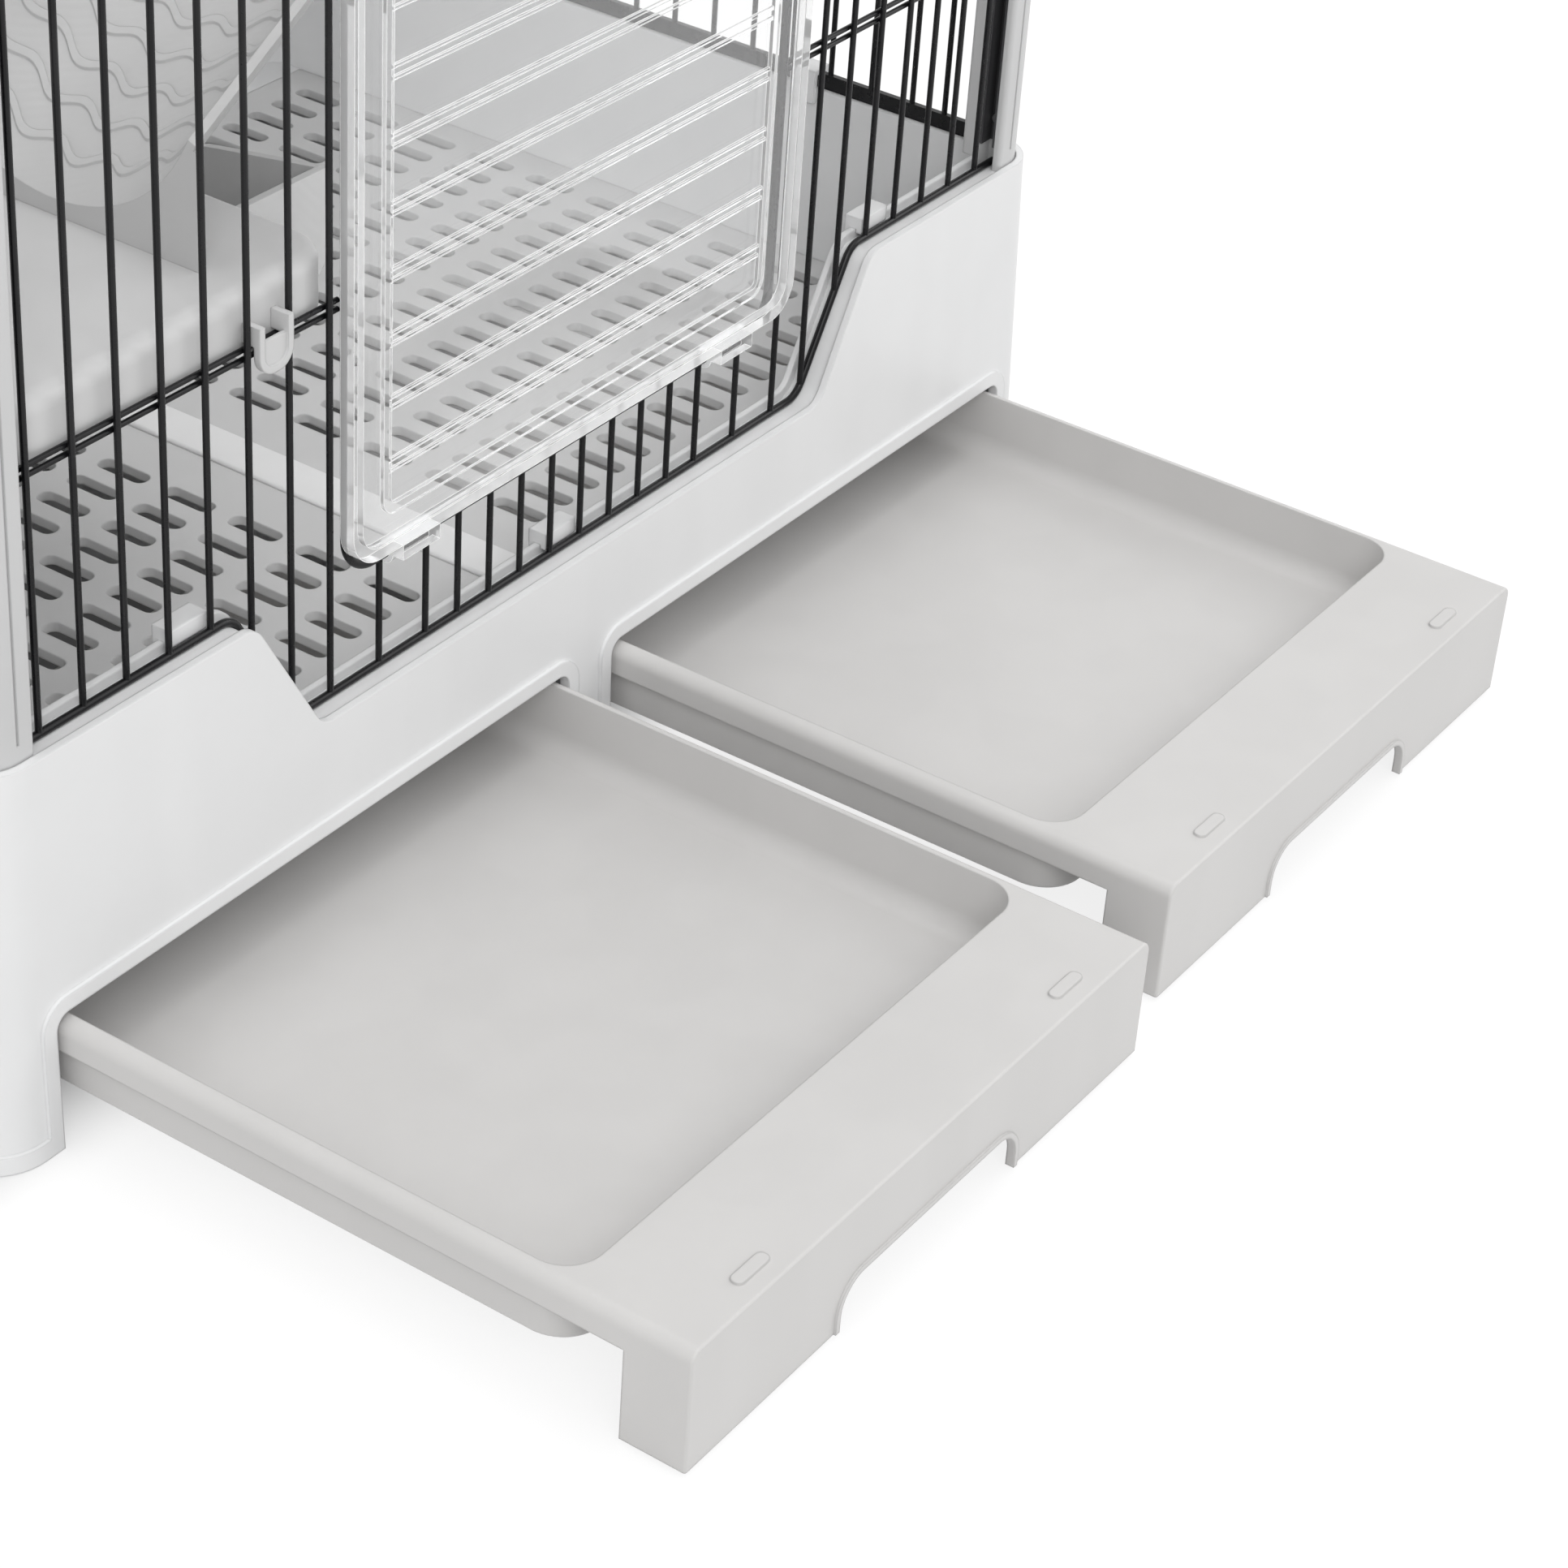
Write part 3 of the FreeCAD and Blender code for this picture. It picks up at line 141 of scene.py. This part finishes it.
# %% Moulded plastic
DRIFT_SCALE = 7.0           # slow drift of the colour
CLOUD_SCALE = 46.0          # small clouds in it
PORE_SCALE = 1500.0         # fine texture of the mould
STREAK_SCALE = 26.0         # flow streaks side by side
STREAK_RISE = 0.03          # streaks hardly change upwards
NOISE_SPAN = (0.3, 0.7)     # the part of a noise that is used
STREAK_SPAN = (0.42, 0.58)
DRIFT_PART, CLOUD_PART, STREAK_PART = 0.5, 0.2, 0.3     # of the tone
DARK_SHARE, LIGHT_SHARE = 0.965, 1.02                   # of the level, at either end of the tone
CLOUD_ROUGH, PORE_ROUGH = 0.12, 0.08                    # change of the roughness
PORE_RELIEF, CLOUD_RELIEF = 0.6, 0.4
RELIEF_DEPTH = 0.0003       # metres
HATCH_SCALE = 110.0         # fine hatch of the tread
HATCH_WAVER = 1.5
PLASTIC_IOR = 1.5


def new_finish(name):
    finish = bpy.data.materials.new(name)
    finish.use_nodes = True
    tree = finish.node_tree
    surface = tree.nodes["Principled BSDF"]
    place = Shade(tree, tree.nodes.new("ShaderNodeTexCoord").outputs["Object"])
    return finish, surface, place


def grey(level, warm=0.0):
    """A nearly neutral colour, warmer above zero."""
    return (level * (1 + warm), level, level * (1 - warm), 1.0)


def moulded(name, level, warm, rough, edge, texture, hatch=0.0):
    """Takes the colour's level and warmth, roughness, edge radius in metres and relief."""
    finish, surface, place = new_finish(name)
    drift = place.node("TexNoise", None, {"Vector": place, "Scale": DRIFT_SCALE, "Detail": 3.0})
    cloud = place.node("TexNoise", None, {"Vector": place, "Scale": CLOUD_SCALE, "Detail": 4.0})
    pores = place.node("TexNoise", None, {"Vector": place, "Scale": PORE_SCALE, "Detail": 2.0})
    upright = place.node("Mapping", None, {"Vector": place, "Scale": (1.0, 1.0, STREAK_RISE)})
    streak = place.node("TexNoise", None, {"Vector": upright, "Scale": STREAK_SCALE, "Detail": 1.0})
    tone = (drift.ease(*NOISE_SPAN) * DRIFT_PART + cloud.ease(*NOISE_SPAN) * CLOUD_PART
            + streak.ease(*STREAK_SPAN) * STREAK_PART)
    colour = tone.mix(grey(level * DARK_SHARE, warm), grey(level * LIGHT_SHARE, warm))
    plug(place.tree, colour, surface.inputs["Base Color"])
    gloss = rough + (cloud - 0.5) * CLOUD_ROUGH + (pores - 0.5) * PORE_ROUGH
    plug(place.tree, gloss, surface.inputs["Roughness"])
    height = pores * PORE_RELIEF + cloud * CLOUD_RELIEF
    if hatch:
        lines = place.node("TexWave", {"bands_direction": "DIAGONAL"},
                           {"Vector": place, "Scale": HATCH_SCALE, "Distortion": HATCH_WAVER,
                            "Detail": 1.0}, 1)
        height = height + lines * hatch
    rounded = place.node("Bevel", {"samples": 6}, {"Radius": edge})
    relief = place.node("Bump", None, {"Strength": texture, "Distance": RELIEF_DEPTH,
                                       "Height": height, "Normal": rounded})
    plug(place.tree, relief, surface.inputs["Normal"])
    surface.inputs["IOR"].default_value = PLASTIC_IOR
    return finish


white_moulding = moulded("white_moulding", 0.82, -0.004, 0.34, 0.0012, 0.05)
post_moulding = moulded("post_moulding", 0.60, -0.003, 0.38, 0.0008, 0.05)
drawer_moulding = moulded("drawer_moulding", 0.605, 0.014, 0.40, 0.0012, 0.07)
floor_moulding = moulded("floor_moulding", 0.68, 0.0, 0.46, 0.0012, 0.07)
# Painted light: the beam's level is set above the white skirt's so that the beam, which lies in
# shade, looks light.
beam_painted_light_moulding = moulded("beam_painted_light_moulding", 0.92, 0.0, 0.42, 0.0008, 0.06)
inside_moulding = moulded("inside_moulding", 0.63, 0.0, 0.40, 0.0010, 0.06)
tread_moulding = moulded("tread_moulding", 0.56, 0.0, 0.40, 0.0006, 0.10, hatch=1.5)
print("moulded plastics", [m.name for m in bpy.data.materials if "moulding" in m.name])

# %% [markdown]
# The wires are drawn steel with a baked black coating. Such a coating is glossy but
# slightly wavy, like the skin of an orange, and a little thinner and greyer here and
# there. The channel strips are painted shade: dark matt strips set in the posts' channels
# where there is only shade. The screws are plated steel.

# %% Wires, strips and screws
PEEL_SCALE = 420.0          # waves of the coating
PEEL_STRENGTH = 0.12
PEEL_DEPTH = 0.0002         # metres
WORN_SCALE = 30.0           # thinner places
WORN_SPAN = (0.35, 0.75)
BLACK, WORN_BLACK = (0.004, 0.004, 0.005, 1), (0.011, 0.011, 0.012, 1)
COAT_MIRROR = 0.3           # weaker mirror than bare plastic
DRAWN_SCALE = 900.0         # lines drawn along a strip
DRAWN_RISE = 0.02
# painted shade of the channel strips, near black with faint drawn lines
STRIP_DARK, STRIP_LIGHT = (0.030, 0.030, 0.032, 1), (0.055, 0.055, 0.058, 1)
STEEL_SCALE = 600.0         # haze on plated steel
STEEL_DARK, STEEL_LIGHT = (0.50, 0.50, 0.51, 1), (0.66, 0.66, 0.67, 1)
# lowest roughness and how far it rises
WIRE_ROUGH, STRIP_ROUGH, STEEL_ROUGH = (0.22, 0.14), (0.45, 0.2), (0.22, 0.2)


def rough_by(pattern, low, rise, surface):
    plug(pattern.tree, low + pattern * rise, surface.inputs["Roughness"])


def coated_wire(name):
    finish, surface, place = new_finish(name)
    peel = place.node("TexNoise", None, {"Vector": place, "Scale": PEEL_SCALE, "Detail": 2.0})
    worn = place.node("TexNoise", None, {"Vector": place, "Scale": WORN_SCALE, "Detail": 5.0})
    colour = worn.ease(*WORN_SPAN).mix(BLACK, WORN_BLACK)
    plug(place.tree, colour, surface.inputs["Base Color"])
    rough_by(peel, *WIRE_ROUGH, surface)
    surface.inputs["Specular IOR Level"].default_value = COAT_MIRROR
    relief = place.node("Bump", None, {"Strength": PEEL_STRENGTH, "Distance": PEEL_DEPTH,
                                       "Height": peel})
    plug(place.tree, relief, surface.inputs["Normal"])
    return finish


def painted_shade_strip(name):
    finish, surface, place = new_finish(name)
    drawn = place.node("Mapping", None, {"Vector": place, "Scale": (1.0, 1.0, DRAWN_RISE)})
    lines = place.node("TexNoise", None, {"Vector": drawn, "Scale": DRAWN_SCALE, "Detail": 3.0})
    # Painted shade: the strip is near black where the channel shows only shade.
    colour = lines.mix(STRIP_DARK, STRIP_LIGHT)
    plug(place.tree, colour, surface.inputs["Base Color"])
    rough_by(lines, *STRIP_ROUGH, surface)
    return finish


def plated_steel(name):
    finish, surface, place = new_finish(name)
    haze = place.node("TexNoise", None, {"Vector": place, "Scale": STEEL_SCALE, "Detail": 4.0})
    colour = haze.mix(STEEL_DARK, STEEL_LIGHT)
    plug(place.tree, colour, surface.inputs["Base Color"])
    rough_by(haze, *STEEL_ROUGH, surface)
    surface.inputs["Metallic"].default_value = 1.0
    return finish


black_coat = coated_wire("black_coat")
channel_painted_shade = painted_shade_strip("channel_painted_shade")
screw_plate = plated_steel("screw_plate")
print("wire, strip and screw finishes ready")

# %% [markdown]
# The door is clear moulded plastic. Its flat pane nearly vanishes: it lets light through,
# adds a light veil and mirrors the room in a thin clear coat. The white lines at the edges
# of the rim and the ribs are painted highlights, standing in for light that runs inside the
# plastic and leaves it at the edges. A Bevel node finds the edges: near an edge its rounded
# normal turns away from the flat one. A second mask finds the steep sides by the door's own
# normals, so it stays on the door when the door swings. Both mix in a milky plastic that
# glows faintly, so both are painted highlights. Clear plastic hardly darkens what is behind
# it, so the door casts no shadow.

# %% Clear plastic
CLEAR_SCALE = 60.0          # haze in the plastic
CLEAR_DARK, CLEAR_LIGHT = (0.95, 0.955, 0.96, 1), (0.99, 0.99, 0.99, 1)
CLEAR_SHARE = 0.95          # light let through by the pane
CLEAR_IOR = 1.10            # low, so that the thin pane hardly bends the view
CLEAR_ROUGH, MILKY_ROUGH = (0.01, 0.03), (0.16, 0.1)
COAT_ROUGH = 0.03
LINE_RADIUS = 0.0007        # reach of the painted white lines from an edge, metres
LINE_SPAN = (0.85, 0.985)   # cosine between the flat and the rounded normal
STEEP_SPAN = (0.45, 0.85)   # how far a face looks forwards or backwards
LINE_SHARE, STEEP_SHARE = 0.9, 0.25     # of milky plastic, painted highlight
PAINTED_EDGE_GLOW = 0.12            # painted glow at the edges, for light led inside the plastic
WHITE = (1, 1, 1, 1)


def clear_moulding(name):
    finish, surface, place = new_finish(name)
    tree = place.tree
    haze = place.node("TexNoise", None, {"Vector": place, "Scale": CLEAR_SCALE, "Detail": 3.0})
    colour = haze.mix(CLEAR_DARK, CLEAR_LIGHT)
    plug(tree, colour, surface.inputs["Base Color"])
    rough_by(haze, *CLEAR_ROUGH, surface)
    surface.inputs["Transmission Weight"].default_value = CLEAR_SHARE
    surface.inputs["IOR"].default_value = CLEAR_IOR
    surface.inputs["Coat Weight"].default_value = 1.0
    surface.inputs["Coat Roughness"].default_value = COAT_ROUGH
    milky_painted_highlight = tree.nodes.new("ShaderNodeBsdfPrincipled")
    plug(tree, colour, milky_painted_highlight.inputs["Base Color"])
    rough_by(haze, *MILKY_ROUGH, milky_painted_highlight)
    # Painted highlight: the milky plastic glows faintly white.
    milky_painted_highlight.inputs["Emission Color"].default_value = WHITE
    milky_painted_highlight.inputs["Emission Strength"].default_value = PAINTED_EDGE_GLOW
    normal = Shade(tree, place.socket.node.outputs["Normal"])
    forward = normal.node("SeparateXYZ", None, {"Vector": normal}, 1)
    steep = 1.0 - forward.math("ABSOLUTE", forward).ease(*STEEP_SPAN)
    flat = Shade(tree, tree.nodes.new("ShaderNodeNewGeometry").outputs["Normal"])
    rounded = place.node("Bevel", {"samples": 8}, {"Radius": LINE_RADIUS})
    turn = flat.node("VectorMath", {"operation": "DOT_PRODUCT"}, {0: flat, 1: rounded}, 1)
    line = 1.0 - turn.math("ABSOLUTE", turn).ease(*LINE_SPAN)
    # Painted highlight: white lines at the edges and lighter steep sides.
    painted_light_white = line.math("MAXIMUM", line * LINE_SHARE, steep * STEEP_SHARE)
    shown = place.node("MixShader", None, {0: painted_light_white, 1: Shade(tree, surface.outputs["BSDF"]),
                                           2: Shade(tree, milky_painted_highlight.outputs["BSDF"])})
    plug(tree, shown, tree.nodes["Material Output"].inputs["Surface"])
    return finish


clear_plastic = clear_moulding("clear_plastic_door")
for name in ("door_panel", "door_hinge_clips"):
    cage[name].visible_shadow = False
print("clear plastic ready")

# %% [markdown]
# Each solid now gets its finish. The names of the solids say what they are, so a table
# of finishes and names is enough.

# %% Dress the solids
dressing = {
    white_moulding: ["base_skirt", "base_inner_wall", "centre_divider", "drawer_rail_left",
                     "drawer_rail_right", "wire_clips"],
    post_moulding: ["post_front_left", "post_front_right", "post_back_left", "post_back_right",
                    "top_frame", "door_catch"],
    drawer_moulding: ["drawer_left", "drawer_right"],
    floor_moulding: ["floor_panel_left", "floor_panel_right"],
    beam_painted_light_moulding: ["floor_beam"],
    inside_moulding: ["platform_lower", "platform_upper", "platform_lower_hooks",
                      "platform_upper_hooks"],
    tread_moulding: ["ramp_upper", "ramp_lower"],
    black_coat: ["front_grille_left", "front_grille_right", "front_grille_lower",
                 "front_grille_upper", "door_loop", "side_grille_left", "side_grille_right",
                 "back_grille", "roof_grille"],
    channel_painted_shade: ["channel_strips"],
    screw_plate: ["post_screws"],
    clear_plastic: ["door_panel", "door_hinge_clips"],
}
dressed = []
for finish, names in dressing.items():
    for name in names:
        for place in cage[name].material_slots:
            place.material = finish
        dressed.append(name)
print("dressed", len(dressed), "left", sorted(set(cage) - set(dressed)))

# %% [markdown]
# A plain studio: a large pale floor, a white room and soft lamps. The room and the floor
# look white to the camera, to reflections and through clear plastic, but light the cage
# only at a plain level. The floor still takes a little of the cage's shadow. Under the cage
# its glow is turned down, a painted shade that also keeps its own white from shining up
# through the slots.

# %% Floor and room
FLOOR_SIZE = 60.0
FLOOR_Z = -0.0005           # just under the foot of the base
PAINTED_SHADE_X = (0.26, 0.33)       # painted shade: from the second distance to the first the floor turns dark
PAINTED_SHADE_Y = (0.16, 0.23)
LIT_GREY = (0.80, 0.80, 0.80, 1)        # what lights the cage from below
PAPER_GREY = (0.20, 0.20, 0.20, 1)      # what takes the shadow in the white that is seen
# painted shade: the floor's glow under the cage
PAINTED_SHADE_GLOW = (0.02, 0.02, 0.02, 1)
GLOW_AROUND = (0.83, 0.83, 0.83, 1)
ROOM_LIGHT = 0.62           # strength of the white room as a lamp


def seen_directly(tree):
    """1 for rays from the camera, in reflections and through clear things."""
    path = tree.nodes.new("ShaderNodeLightPath")
    camera_ray = Shade(tree, path.outputs["Is Camera Ray"])
    glossy_ray = Shade(tree, path.outputs["Is Glossy Ray"])
    through_ray = Shade(tree, path.outputs["Is Transmission Ray"])
    either = camera_ray.math("MAXIMUM", camera_ray, glossy_ray)
    return either.math("MAXIMUM", either, through_ray)


bpy.ops.object.select_all(action="DESELECT")
bpy.ops.mesh.primitive_plane_add(size=FLOOR_SIZE, location=(0, 0, FLOOR_Z))
floor = bpy.context.object
floor.name = "studio_floor"
ground = bpy.data.materials.new("pale_ground")
ground.use_nodes = True
tree = ground.node_tree
tree.nodes.remove(tree.nodes["Principled BSDF"])
start = Shade(tree, None)
spot = Shade(tree, tree.nodes.new("ShaderNodeTexCoord").outputs["Object"])
across = spot.node("SeparateXYZ", None, {"Vector": spot}, 0)
along = spot.node("SeparateXYZ", None, {"Vector": spot}, 1)
beside = across.math("ABSOLUTE", across).ease(*PAINTED_SHADE_X)
outside_painted_shade = across.math("MAXIMUM", beside, along.math("ABSOLUTE", along).ease(*PAINTED_SHADE_Y))
lit = start.node("BsdfDiffuse", None, {"Color": LIT_GREY})
paper = start.node("BsdfDiffuse", None, {"Color": PAPER_GREY})
# Painted shade: the floor's glow is turned down under the cage.
shine_and_painted_shade = outside_painted_shade.mix(PAINTED_SHADE_GLOW, GLOW_AROUND)
glow = start.node("Emission", None, {"Color": shine_and_painted_shade, "Strength": 1.0})
painted_light_white = start.node("AddShader", None, {0: paper, 1: glow})
shown = start.node("MixShader", None, {0: seen_directly(tree), 1: lit, 2: painted_light_white})
plug(tree, shown, tree.nodes["Material Output"].inputs["Surface"])
floor.data.materials.append(ground)

room = bpy.data.worlds.new("white_room")
bpy.context.scene.world = room
room.use_nodes = True
tree = room.node_tree
sky = tree.nodes["Background"]
sky.inputs["Color"].default_value = WHITE
plug(tree, ROOM_LIGHT + seen_directly(tree) * (1 - ROOM_LIGHT), sky.inputs["Strength"])
print("floor and room ready")

# %% [markdown]
# Three soft boxes: a wide one in front to the left, a weaker one from the right and one
# above. Large lamps give the soft shadows of a studio.

# %% Lamps
# name: place, target, size in metres, power in watts
LAMPS = {
    "front_box": ((-2.3, -2.4, 2.5), (0, -0.2, 0.2), 2.2, 49.0),
    "right_box": ((2.6, -1.9, 1.7), (0, -0.1, 0.2), 2.0, 18.0),
    "top_box": ((0.2, -0.4, 3.4), (0, -0.2, 0.2), 2.4, 37.0),
}


def soft_box(name, place, target, size, power):
    data = bpy.data.lights.new(name, "AREA")
    data.shape = "SQUARE"
    data.size = size
    data.energy = power
    lamp = bpy.data.objects.new(name, data)
    bpy.context.scene.collection.objects.link(lamp)
    lamp.location = place
    lamp.rotation_euler = (Vector(target) - Vector(place)).to_track_quat("-Z", "Y").to_euler()


for name, settings in LAMPS.items():
    soft_box(name, *settings)
